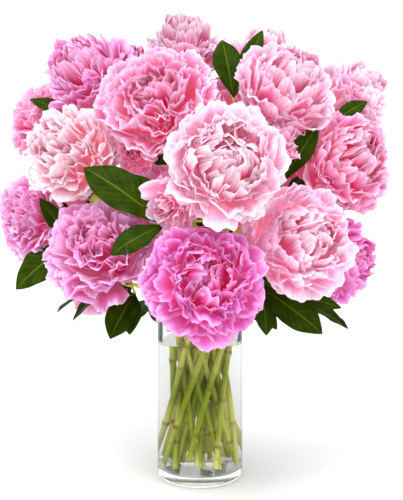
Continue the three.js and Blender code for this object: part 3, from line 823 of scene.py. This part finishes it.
def loosePetal(start, end, face, width, rng):
    # a broad petal from its start to its end, arched towards the way it faces, cupped and ruffled
    form = looseForm
    rows, columns = form["grid"]
    u, v = np.meshgrid(np.linspace(-1, 1, columns), spaced(rows, petalMake["crowd"]))
    start, end = np.array(start) * mm, np.array(end) * mm
    length, along, face = bladeFrame(start, end, facing(*face))
    notch = form["notch"] * (0.5 - 0.5 * np.cos(form["notches"] * u + form["phase"] * rng.random()))
    reach = v * (1 - form["corner"] * np.abs(u) ** 3 - notch * smooth(petalMake["notchFrom"], 1, v))
    line = archOf(start, (start + end) / 2 + face * form["arch"] * 2 * length, end, reach[..., None])
    half = width / 2 * mm * opening(v, form["claw"]) * closing(v)
    wave = 0
    for (share, times), grow in zip(form["waves"], (v ** 2, smooth(form["wavesFrom"], 1, v))):
        wave = wave + share * np.sin(times * u + form["phase"] * rng.random()) * grow
    lift = form["cup"] * half * u ** 2 - form["ruffle"] * width * mm * wave
    points = line + np.cross(along, face) * (u * half)[..., None] - face * lift[..., None]
    mesh = bladeMesh("loosePetal", points, gridNormals(points), form["thickness"])
    for label, value in (("depth", 0.0), ("tone", rng.random())):
        mesh.attributes.new(label, "FLOAT", "POINT").data.foreach_set("value", [value] * len(mesh.vertices))
    return mesh


def petalHead(label, skin, kind, detail, share, middle, radius, axis, seed):
    # a head of petals of one form round its axis
    count = round(petalForms[kind]["petals"] * share)
    mesh = grown(label, "arranger", coreMesh(), Set=petalSets[kind, detail], Count=count, Seed=seed,
                 Shapes=petalMake["shapes"], Turn=goldenTurn, Sway=petalMake["sway"],
                 Vary=petalMake["vary"], Skin=petalSkins[skin])
    movePoints(mesh, middle + (pointsOf(mesh) * radius) @ turnTo(axis).T)
    return mesh


def bloomPiece(name, seed):
    # a whole bloom, pressed by its neighbours, with its tufts and loose petals
    tint, kind = flowers[name][4:]
    detail = "far" if middles[name][1] > farLine else "near"
    mesh = petalHead("blossom_" + name, tint, kind, detail, petalDetails[detail]["share"], middles[name],
                     radii[name] * fullness.get(name, fullness["usual"]), axes[name], seed * 10)
    movePoints(mesh, pressed(name, swayed(pointsOf(mesh), seed)))
    paled(mesh, paler.get(name, 0))
    rng = np.random.default_rng(looseForm["seed"] + seed)
    extra = []
    for _, skin, *place in [row for row in loosePetals if row[0] == name]:
        extra.append(loosePetal(*place, rng))
        extra[-1].materials.append(petalSkins[skin])
    for _, skin, form, middle, radius, face, count in [row for row in tufts if row[0] == name]:
        extra.append(petalHead("tuft", skin, form, "near", count / petalForms[form]["petals"],
                               np.array(middle) * mm, radius * mm, facing(*face), seed * 10 + len(extra)))
    if extra:
        mesh = joined("blossom_" + name, [mesh] + extra)
    mesh.set_sharp_from_angle(angle=math.radians(petalMake["sharp"]))
    piece = objectOf("blossom_" + name, mesh)
    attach(piece, "root")
    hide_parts("bloom_" + name)


petalSets = {(kind, detail): petalSet(kind, detail) for kind in petalForms for detail in petalDetails}
for seed, name in enumerate(flowers):
    bloomPiece(name, seed + 1)
print("blooms grown")


# the bundle's heights, and each ring's waist, feet and stem radius, the way it leans, how many degrees its
# seats lag behind its blooms, and how far its stems run on before they bend
bundle = dict(
    waist=120 * mm, mouth=192 * mm, lowestCut=13.5 * mm, cutSteps=(0, 7, 3, 13, 5, 1, 9),
    outer=dict(waist=24.4 * mm, foot=42.2 * mm, stem=3.0 * mm, turn=1, lead=60, handle=0.5),
    second=dict(waist=17.2 * mm, foot=34.6 * mm, stem=2.7 * mm, turn=-1, lead=47, handle=0.2),
    third=dict(waist=10.7 * mm, foot=27.2 * mm, stem=2.6 * mm, turn=1, lead=86, handle=0.24),
    middle=dict(waist=4.6 * mm, foot=19 * mm, stem=2.3 * mm, turn=-1, lead=58, handle=0.5),
)
# a stem's sides, points and taper, its slanted cut, the calyx where it meets its bloom, and its knuckles
stalk = dict(
    sides=10, taper=0.15, taperFrom=0.4, points=(60, 120), rings=(2 * mm, 10 * mm), slant=0.9, sharp=50,
    calyx=15 * mm, calyxRadius=8.5 * mm, calyxFoot=4 * mm, calyxRings=7, seat=0.5, seed=40,
    knuckle=0.3, knuckleLength=4 * mm, knuckleGap=(48 * mm, 82 * mm), knuckles=12, lowest=30 * mm,
    knuckleRings=(-1.6, -0.8, 0, 0.8, 1.6), bare=(8 * mm, 20 * mm),  # no knuckles at either end
)


def bundlePoint(ring, angle, height):
    # a line of the bundle, which passes the axis at the waist and leans to its foot
    waist, foot, turn = (bundle[ring][key] for key in ("waist", "foot", "turn"))
    lean = math.sqrt(foot ** 2 - waist ** 2) / (bundle["waist"] - bundle["lowestCut"])
    drift = turn * lean * (height - bundle["waist"])
    c, s = math.cos(angle), math.sin(angle)
    return np.array([waist * c - drift * s, waist * s + drift * c, height])


def seatRing(ring):
    # an even place round the waist for each flower of a ring, in their order round the vase
    azimuth = lambda name: math.atan2(flowers[name][0][1], flowers[name][0][0])
    members = sorted([name for name in flowers if flowers[name][3] == ring], key=azimuth)
    step = 2 * math.pi / len(members)
    start = sum(azimuth(name) - i * step for i, name in enumerate(members)) / len(members)
    behind = bundle[ring]["turn"] * math.radians(bundle[ring]["lead"])
    return {name: start + i * step - behind for i, name in enumerate(members)}


seats = {}
for ring in ("outer", "second", "third", "middle"):
    seats.update(seatRing(ring))


def stemOf(name):
    # the foot, the mouth and the four points of the bend up to the bloom, and its seat
    ring = flowers[name][3]
    steps = bundle["cutSteps"]
    step = steps[list(seats).index(name) % len(steps)]
    foot = bundlePoint(ring, seats[name], bundle["lowestCut"] + step * mm)
    mouth = bundlePoint(ring, seats[name], bundle["mouth"])
    axis = axes[name]
    seat = middles[name] - axis * stalk["seat"] * radii[name]
    neck = seat - axis * stalk["calyx"]
    handle = bundle[ring]["handle"] * np.linalg.norm(neck - mouth)
    return foot, [mouth, mouth + unit(mouth - foot) * handle, neck - axis * handle, neck], seat


stems = {name: stemOf(name) for name in seats}


def lineOf(name, points, girth, knuckle):
    # a mesh of edges that a tube can follow, with its girth, knuckles and length at each point
    mesh = bpy.data.meshes.new(name)
    mesh.from_pydata([tuple(p) for p in points], [(i, i + 1) for i in range(len(points) - 1)], [])
    run = np.concatenate([[0], np.cumsum(np.linalg.norm(np.diff(points, axis=0), axis=1))])
    for label, values in (("girth", girth), ("knuckle", knuckle), ("along", run)):
        mesh.attributes.new(label, "FLOAT", "POINT").data.foreach_set("value", values)
    return mesh


def stemLine(name, rng):
    # a stem's points from its foot to its bloom, closer together at its knuckles and in the calyx
    foot, bend, seat = stems[name]
    straight, bent = stalk["points"]
    dense = [np.linspace(foot, bend[0], straight)[:-1], bezier(bend, np.linspace(0, 1, bent)), [seat]]
    dense = np.concatenate(dense)
    run = np.concatenate([[0], np.cumsum(np.linalg.norm(np.diff(dense, axis=0), axis=1))])
    neck = run[-2]
    knuckles = np.cumsum(rng.uniform(*stalk["knuckleGap"], size=stalk["knuckles"])) - stalk["lowest"]
    knuckles = knuckles[(knuckles > stalk["bare"][0]) & (knuckles < neck - stalk["bare"][1])]
    near = np.array(stalk["knuckleRings"]) * stalk["knuckleLength"]
    firstRing, ringGap = stalk["rings"]
    places = np.concatenate([np.arange(firstRing, neck, ringGap), (knuckles[:, None] + near).ravel(),
                             np.linspace(neck, run[-1], stalk["calyxRings"]), [0.0]])
    places = np.unique(places.clip(0, run[-1]).round(5))
    points = np.stack([np.interp(places, run, dense[:, i]) for i in range(3)], axis=1)
    knuckle = np.exp(-((places[:, None] - knuckles) / stalk["knuckleLength"]) ** 2).sum(axis=1)
    thinning = stalk["taper"] * smooth(stalk["taperFrom"], 1, places / neck)
    girth = bundle[flowers[name][3]]["stem"] * (1 - thinning) * (1 + stalk["knuckle"] * knuckle)
    swell = smooth(neck - stalk["calyxFoot"], run[-1], places)
    return lineOf("line", points, mix(girth, stalk["calyxRadius"], swell), knuckle)


def stalkPiece(name, rng):
    # a stem up to its bloom, its foot cut on a slant
    mesh = grown("stalk_" + name, "tuber", stemLine(name, rng), Sides=stalk["sides"], Skin=stemSkin)
    foot, bend, _ = stems[name]
    points = pointsOf(mesh)
    lean = unit(bend[0] - foot)
    slope = unit(np.cross(lean, rng.normal(size=3)))
    ring = points[:stalk["sides"]]
    lift = (ring - foot) @ slope
    ring += ((lift - lift.min()) * stalk["slant"])[:, None] * lean
    movePoints(mesh, points)
    mesh.set_sharp_from_angle(angle=math.radians(stalk["sharp"]))
    piece = objectOf("stalk_" + name, mesh)
    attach(piece, "root")
    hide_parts("stem_" + name)


stemSkin = patternedSkin(
    "stem", "stem", dict(Green="a2b41c", Lime="fefc8c", Brown="8a6424", Cut="f6f6d8"),
    roughness=0.34, clear=0.2, relief=0.0003, shine=0.15)
stemRng = np.random.default_rng(stalk["seed"])
for name in flowers:
    stalkPiece(name, stemRng)
print("stems grown")


# each leaf's stem, how far up the bend it grows, its hub in mm, the way it faces in degrees, and its
# leaflets' tips and widths in mm
leaves = [
    ("crown_right", 0.72, (37, -54, 434), (-90, 10), [((25, -36, 506), 32), ((69, -56, 508), 22)]),
    ("centre", 0.66, (-34, -128, 286), (-95, 30),
     [((-116, -112, 345), 42), ((-66, -112, 338), 26), ((-84, -142, 256), 28)]),
    ("far_left", 0.62, (-146, -24, 276), (-105, 25), [((-209, -38, 222), 44), ((-178, -52, 324), 20)]),
    ("left_low", 0.7, (-70, -66, 218), (-100, 10),
     [((-147, -58, 219), 22), ((-93, -92, 172), 32), ((-73, -90, 176), 22)]),
    ("right_low", 0.7, (66, -66, 224), (-80, 15),
     [((127, -90, 177), 38), ((69, -88, 175), 24), ((156, -56, 202), 20)]),
    ("upper_left", 0.78, (-149, 0, 424), (-110, 40), [((-203, -8, 448), 24)]),
    ("right", 0.66, (90, -66, 340), (-90, 10), [((124, -84, 396), 24)]),
    ("right_up", 0.75, (158, -4, 420), (-80, 30), [((198, -12, 444), 22)]),
    ("back_left_low", 0.62, (-112, 26, 226), (170, 25), [((-186, 50, 190), 38), ((-152, -6, 184), 26)]),
    ("back_low", 0.62, (-66, 84, 206), (110, 25), [((-104, 156, 168), 34), ((-50, 162, 160), 26)]),
    ("back_right_low", 0.62, (52, 72, 204), (70, 25), [((46, 156, 164), 30), ((112, 134, 160), 34)]),
    ("far_right", 0.62, (118, 14, 208), (10, 25), [((190, 46, 172), 36), ((172, -26, 176), 24)]),
    ("back_high", 0.74, (18, 116, 412), (100, 40), [((16, 154, 470), 28), ((-4, 178, 416), 22)]),
    ("back_left_high", 0.7, (-130, 84, 306), (130, 20), [((-180, 130, 300), 28)]),
]
# a leaflet's grid and its shares of length or width, and the stalk that a leaf's leaflets stand on
leafForm = dict(
    grid=(20, 11), thickness=0.9 * mm, arch=0.12, fold=0.3, crease=0.01, curl=0.16, belly=1.2, blunt=0.9,
    wave=0.03, waves=3.2, waveSlant=1.6, narrow=0.35 * mm, sharp=50, seed=90,
    stalk=1.3 * mm, stalkGirth=(1.25, 0.45), stalkSides=7, stalkPoints=12, sag=0.06,
)


def leafletMesh(hub, outward, tip, width, rng):
    # an arched blade from its hub to its tip, folded along its rib, with waved edges
    form = leafForm
    rows, columns = form["grid"]
    u, v = np.meshgrid(np.linspace(-1, 1, columns), np.linspace(0, 1, rows))
    length, along, face = bladeFrame(hub, tip, outward)
    rib = archOf(hub, (hub + tip) / 2 + face * form["arch"] * length, tip, v[..., None])
    half = width / 2 * np.sin(math.pi * v ** form["belly"]) ** form["blunt"] + form["narrow"]
    bent = form["fold"] * np.sqrt(u ** 2 + form["crease"]) - form["curl"] * u ** 2
    course = 2 * math.pi * form["waves"] * v + rng.random() * anyPhase + u * form["waveSlant"]
    wave = np.sin(course) * u ** 2
    lift = bent * half + form["wave"] * width * wave * np.sin(math.pi * v)
    points = rib + np.cross(along, face) * (u * half)[..., None] + face * lift[..., None]
    return bladeMesh("leaflet", points, gridNormals(points), form["thickness"])


def leafPiece(row, rng):
    # a leaf's stalk, from its stem to its hub, and its leaflets
    name, place, hub, face, leaflets = row
    hub = np.array(hub) * mm
    start = bezier(stems[name][1], np.array([place]))[0]
    sag = (start + hub) / 2 + facing(*face) * leafForm["sag"] * np.linalg.norm(hub - start)
    t = np.linspace(0, 1, leafForm["stalkPoints"])[:, None]
    thick, thin = leafForm["stalkGirth"]
    girth = leafForm["stalk"] * (thick - thin * np.sin(math.pi * t[:, 0]))
    line = lineOf("line", archOf(start, sag, hub, t), girth, girth * 0)
    parts = [grown("leafStalk", "tuber", line, Sides=leafForm["stalkSides"], Skin=stemSkin)]
    for tip, width in leaflets:
        blade = leafletMesh(hub, facing(*face), np.array(tip) * mm, width * mm, rng)
        blade.materials.append(leafSkin)
        parts.append(blade)
    mesh = joined("leaf_" + name, parts)
    mesh.set_sharp_from_angle(angle=math.radians(leafForm["sharp"]))
    piece = objectOf("leaf_" + name, mesh)
    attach(piece, "root")
    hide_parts("stem_" + name)


# sepals lie against the guard petals, in shares of a bloom's radius
sepalForm = dict(
    count=7, shapes=7, grid=(7, 7), width=(0.4, 0.16), reach=(0.62, 0.86), reachVary=(0.92, 0.16),
    root=(0.1, 0, -0.5), handles=(0.5, 0.85), low=-0.6, tip=-0.52, tipVary=0.16, cup=0.25, wave=0.02,
    thickness=0.018, sway=0.05, vary=0.06, sharp=60, seed=3,
)


def sepalMesh(t, rng):
    # one sepal, standing at azimuth 0 as a petal does
    form = sepalForm
    rows, columns = form["grid"]
    u, v = np.meshgrid(np.linspace(-1, 1, columns), np.linspace(0, 1, rows))
    least, more = form["reachVary"]
    out = mix(*form["reach"], t) * (least + more * rng.random())
    first, last = form["handles"]
    spine = [form["root"], (out * first, 0, form["low"]), (out * last, 0, form["low"]),
             (out, 0, form["tip"] + form["tipVary"] * rng.random())]
    half = mix(*form["width"], t) / 2 * (np.sin(math.pi * (0.2 + 0.8 * v) ** 1.1) ** 0.7 + 0.03)
    lift = form["cup"] * half * u ** 2 + form["wave"] * np.sin(3 * u + 5 * v)
    points = bezier(spine, v) + np.stack([0 * u, u * half, lift], axis=2)
    return bladeMesh("sepal", points, gridNormals(points), form["thickness"])


def sepalPiece(name, seed):
    # a bloom's sepals, spread round its calyx
    mesh = grown("sepals_" + name, "arranger", bpy.data.meshes.new("none"), Set=sepalSet, Seed=seed * 7,
                 Count=sepalForm["count"], Shapes=sepalForm["shapes"], Turn=goldenTurn,
                 Sway=sepalForm["sway"], Vary=sepalForm["vary"], Skin=leafSkin)
    movePoints(mesh, middles[name] + (pointsOf(mesh) * radii[name]) @ turnTo(axes[name]).T)
    mesh.set_sharp_from_angle(angle=math.radians(sepalForm["sharp"]))
    piece = objectOf("sepals_" + name, mesh)
    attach(piece, "root")
    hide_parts("stem_" + name)


leafSkin = patternedSkin("leaf", "leaf", dict(Green="1c3002", Vein="54680e"), roughness=0.42, clear=0.1,
                         relief=0.0004, shine=0.02)
leafRng = np.random.default_rng(leafForm["seed"])
for row in leaves:
    leafPiece(row, leafRng)
sepalRng = np.random.default_rng(sepalForm["seed"])
sepalSteps = np.linspace(0, 1, sepalForm["shapes"])
sepalSet = shelfOf("sepals", [sepalMesh(float(t), sepalRng) for t in sepalSteps])
for seed, name in enumerate(flowers):
    sepalPiece(name, seed + 1)
print("leaves and sepals grown")


# the vase's sizes, with how far its underside is hollow at its middle and at a share of its radius, and how
# far its floor and the water on it dip
vase = dict(
    radius=51 * mm, height=203 * mm, wall=3.2 * mm, floor=11 * mm, corner=5 * mm, well=4 * mm,
    hollow=(0.6 * mm, 0.5 * mm), hollowAt=0.6, dip=0.3 * mm, sides=144, sharp=40,
)
# the water's level, how far it reaches into the glass, and how it climbs the wall: its height there, how wide
# the climb is, and the steps between in shares of both
water = dict(
    level=156 * mm, overlap=0.15 * mm, meniscus=1.5 * mm, creep=4 * mm, climb=((0.3, 0.45), (0.6, 0.12)),
)

# where a clear skin is painted greyer as it is seen edge on, a painted shade that stands in for the dark
# lines along glass edges, how level a face is that lets light straight through, and by what share
clearLook = dict(edgeOn=(0.6, 0.9), level=(0.7, 0.95), levelShare=0.8)


def arc(middle, radii, start, end, steps=8):
    angles = np.radians(np.linspace(start, end, steps))
    return [(middle[0] + radii[0] * math.cos(a), middle[1] + radii[1] * math.sin(a)) for a in angles]


def clearSkin(name, ior, face, edge, shine, shade, behind="ffffff", passed=0.0):
    # a clear skin which lets light through, with painted shade where it is seen edge on and behind what it
    # holds
    skin = bpy.data.materials.new(name)
    skin.use_nodes = True
    tree = skin.node_tree
    graph = Graph(tree)
    shader = tree.nodes["Principled BSDF"]
    shader.inputs["Transmission Weight"].default_value = 1.0
    shader.inputs["Roughness"].default_value = 0.0
    shader.inputs["IOR"].default_value = ior
    shader.inputs["Specular Tint"].default_value = colour(shine)
    # painted shade: the base colour greys where the surface is seen edge on
    paintedEdgeShade = graph.ramp(graph.node("ShaderNodeLayerWeight", out=1, Blend=0.5), *clearLook["edgeOn"])
    graph.feed(shader.inputs["Base Color"], graph.blend(paintedEdgeShade, colour(face), colour(edge)))
    through = tree.nodes.new("ShaderNodeBsdfTransparent")
    geometry = tree.nodes.new("ShaderNodeNewGeometry")
    upward = graph.split(geometry.outputs["Normal"])[2]
    level = graph.math("MULTIPLY", graph.ramp(upward, *clearLook["level"]), clearLook["levelShare"])
    flat = graph.math("MULTIPLY", graph.math("MAXIMUM", level, geometry.outputs["Backfacing"]), passed)
    shadow = tree.nodes.new("ShaderNodeLightPath").outputs["Is Shadow Ray"]
    # painted shade: rays that pass straight through take the behind colour, a grey behind what the skin
    # holds; shadow rays take the shade colour
    graph.feed(through.inputs["Color"], graph.blend(shadow, colour(behind), colour(shade)))
    graph.surface(graph.math("MAXIMUM", shadow, flat), shader.outputs[0], through.outputs[0])
    return skin


def turnedPiece(name, node, profile, skin):
    # a round piece of the vase, turned from its profile
    mesh = meshOf(name, *turned(profile, vase["sides"]))
    mesh.materials.append(skin)
    mesh.set_sharp_from_angle(angle=math.radians(vase["sharp"]))
    piece = objectOf(name, mesh)
    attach(piece, "root")
    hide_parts(node)
    return piece


outer, inner = vase["radius"], vase["radius"] - vase["wall"]
corner, well, rim = vase["corner"], vase["well"], vase["wall"] / 2
vaseProfile = [
    (0, vase["hollow"][0]), (vase["hollowAt"] * outer, vase["hollow"][1]), (outer - corner, 0),
    *arc((outer - corner, corner), (corner, corner), -80, 0),
    *arc((outer - rim, vase["height"] - rim), (rim, rim), 0, 180),
    *arc((inner - well, vase["floor"] + well), (well, well), 0, -80),
    (inner - well, vase["floor"]), (0, vase["floor"] - vase["dip"]),
]
wet, base, level = inner + water["overlap"], vase["floor"] - water["overlap"], water["level"]
waterProfile = [
    (0, base - vase["dip"]), (wet - well, base), *arc((wet - well, base + well), (well, well), -80, 0),
    (wet, level + water["meniscus"]),
    *[(wet - away * water["creep"], level + share * water["meniscus"]) for away, share in water["climb"]],
    (wet - water["creep"], level), (0, level),
]
# each skin's edge colour is painted shade where it is seen edge on
glassSkin = clearSkin("vaseGlass", ior=1.5, face="fbfcfc", edge="85888c", shine="606060", shade="f0f2f0")
# the water's behind colour is painted shade, a grey seen through the water behind its stems
waterSkin = clearSkin("clearWater", ior=1.333, face="fcfefc", edge="f2f6f0", shine="000000", shade="fafcfa",
                      behind="e9e6e5", passed=1.0)
turnedPiece("glass_vase", "vase", vaseProfile, glassSkin)
turnedPiece("still_water", "water", waterProfile, waterSkin)
print("vase and water made")
